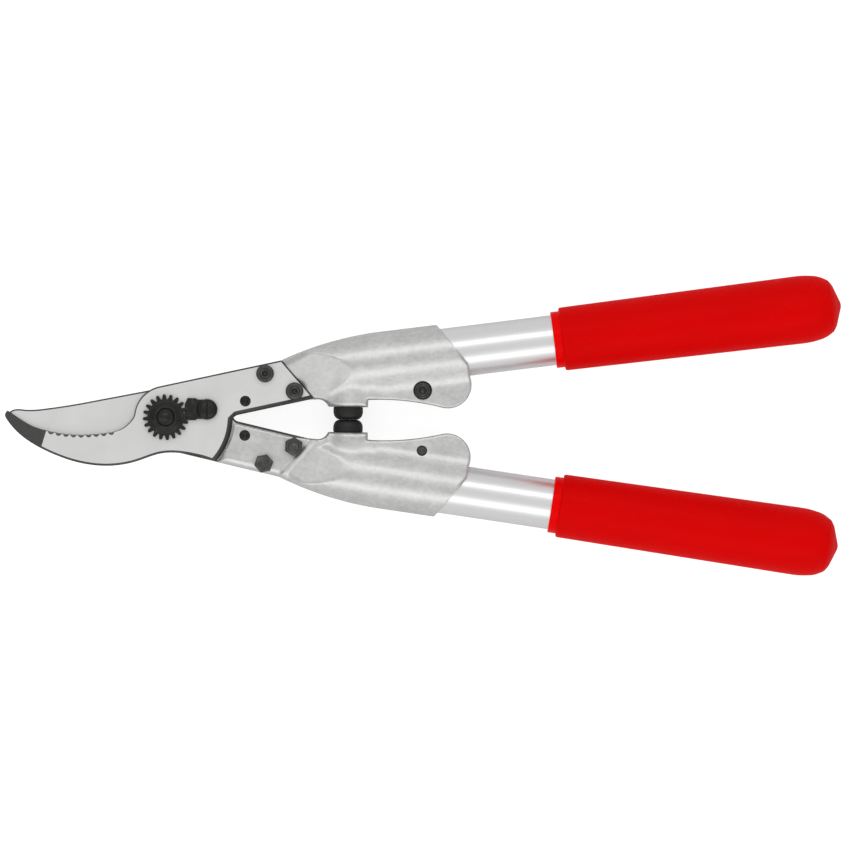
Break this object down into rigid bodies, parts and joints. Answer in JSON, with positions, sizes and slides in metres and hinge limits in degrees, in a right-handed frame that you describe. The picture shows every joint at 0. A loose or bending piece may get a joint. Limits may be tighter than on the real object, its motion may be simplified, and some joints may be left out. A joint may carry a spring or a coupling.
{
  "type": "pruning shears",
  "caption": "Bypass pruning shears with a hooked, notched counter-blade, toothed pivot nut, cast brackets, aluminium tube handles, red grips and rubber shock absorbers.",
  "frame": {"origin": "on the pivot axis, at the outer flat of the pivot bolt's head", "axes": "+Z along the pivot from the bolt's head to the nut, +X from the pivot to the grips midway between the closed handles, +Y towards the counter-blade's handle"},
  "size_m": [0.3991, 0.1438, 0.0324],
  "materials": {
    "blade_steel": "ground and satin polished tool steel",
    "cast_aluminium": "die cast, tumbled, slightly mottled satin",
    "tube_aluminium": "drawn tube, satin anodised, faint lengthwise lines",
    "red_vinyl": "soft vinyl, satin",
    "black_rubber": "moulded rubber, dull",
    "black_steel": "black oxide steel, oiled"
  },
  "bodies": {
    "hook_side": {"counter_blade": "blade_steel", "pivot_bolt": "black_steel", "pivot_nut": "black_steel", "locking_segment": "black_steel", "segment_screw": "black_steel", "casting_a": "cast_aluminium", "tube_a": "tube_aluminium", "grip_a": "red_vinyl", "bumper_a": "black_rubber", "dowel_a": "black_steel", "clamp_screw_a": "black_steel", "front_bolt_a": "black_steel", "rear_bolt_a": "black_steel", "front_nut_a": "black_steel", "rear_nut_a": "black_steel"},
    "blade_side": {"cutting_blade": "blade_steel", "casting_b": "cast_aluminium", "tube_b": "tube_aluminium", "grip_b": "red_vinyl", "bumper_b": "black_rubber", "dowel_b": "black_steel", "clamp_screw_b": "black_steel", "front_bolt_b": "black_steel", "rear_bolt_b": "black_steel", "front_nut_b": "black_steel", "rear_nut_b": "black_steel"}
  },
  "joints": [
    {"name": "pivot", "type": "hinge", "parent": "hook_side", "child": "blade_side", "pos_m": [0, 0, 0.0078], "axis": [0, 0, -1], "range_deg": [0, 90]}
  ]
}
